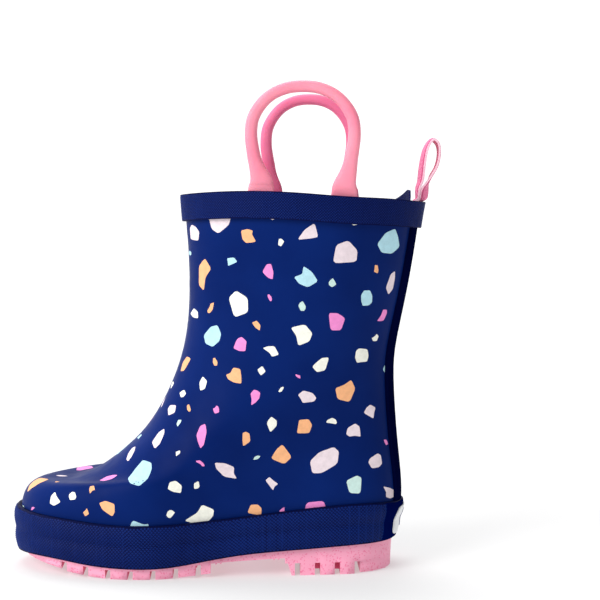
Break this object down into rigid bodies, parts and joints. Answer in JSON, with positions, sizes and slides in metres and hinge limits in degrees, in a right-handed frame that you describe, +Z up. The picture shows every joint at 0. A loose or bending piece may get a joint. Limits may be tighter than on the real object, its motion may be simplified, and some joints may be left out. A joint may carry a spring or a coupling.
{
  "type": "rubber rain boot",
  "caption": "Child's pull-on rubber rain boot, left foot: printed shaft, textured foxing band, lugged outsole, flexible pull handles at the collar and a ribbon loop behind.",
  "frame": {"origin": "on the ground, under the middle of the boot's bounding box", "axes": "+Z up, the toe points along -X, -Y is the outer (lateral) side of the left foot"},
  "size_m": [0.1886, 0.0763, 0.2092],
  "materials": {
    "sole_rubber": "matte",
    "sponge": "matte",
    "board": "matte",
    "upper_rubber": "satin",
    "lining": "matte",
    "reinforcement": "matte",
    "foxing_rubber": "satin",
    "strip_rubber": "glossy",
    "collar_rubber": "satin",
    "badge": "satin",
    "handle_rubber": "satin",
    "ribbon": "matte",
    "footbed_foam": "matte",
    "footbed_cover": "matte"
  },
  "bodies": {
    "boot": {"outsole": "sole_rubber", "heel_filler": "sponge", "insole_board": "board", "upper_shell": "upper_rubber", "lining_sock": "lining", "toe_puff": "reinforcement", "heel_counter": "reinforcement", "topline_tape": "reinforcement", "foxing_band": "foxing_rubber", "back_strip": "strip_rubber", "collar_band": "collar_rubber", "heel_badge": "badge", "handle_outer_tabs": "handle_rubber", "handle_inner_tabs": "handle_rubber", "pull_loop_tail": "ribbon"},
    "handle_outer": {"handle_outer_loop": "handle_rubber"},
    "handle_inner": {"handle_inner_loop": "handle_rubber"},
    "loop": {"pull_loop": "ribbon"},
    "footbed": {"footbed_foam": "footbed_foam", "footbed_cover": "footbed_cover"}
  },
  "joints": [
    {"name": "handle_outer_bend", "type": "hinge", "parent": "boot", "child": "handle_outer", "pos_m": [0.0356, -0.0275, 0.1645], "axis": [0.9985, 0, -0.0541], "range_deg": [-30, 60], "stiffness_Nm_per_rad": 0.05},
    {"name": "handle_inner_bend", "type": "hinge", "parent": "boot", "child": "handle_inner", "pos_m": [0.0356, 0.0295, 0.165], "axis": [1, 0, 0], "range_deg": [-60, 30], "stiffness_Nm_per_rad": 0.05},
    {"name": "pull_loop_bend", "type": "hinge", "parent": "boot", "child": "loop", "pos_m": [0.0828, 0.001, 0.1625], "axis": [0, 1, 0], "range_deg": [-60, 50], "stiffness_Nm_per_rad": 0.004},
    {"name": "footbed_lift", "type": "hinge", "parent": "boot", "child": "footbed", "pos_m": [-0.0865, 0.001, 0.0165], "axis": [0, -1, 0], "range_deg": [0, 9]}
  ]
}
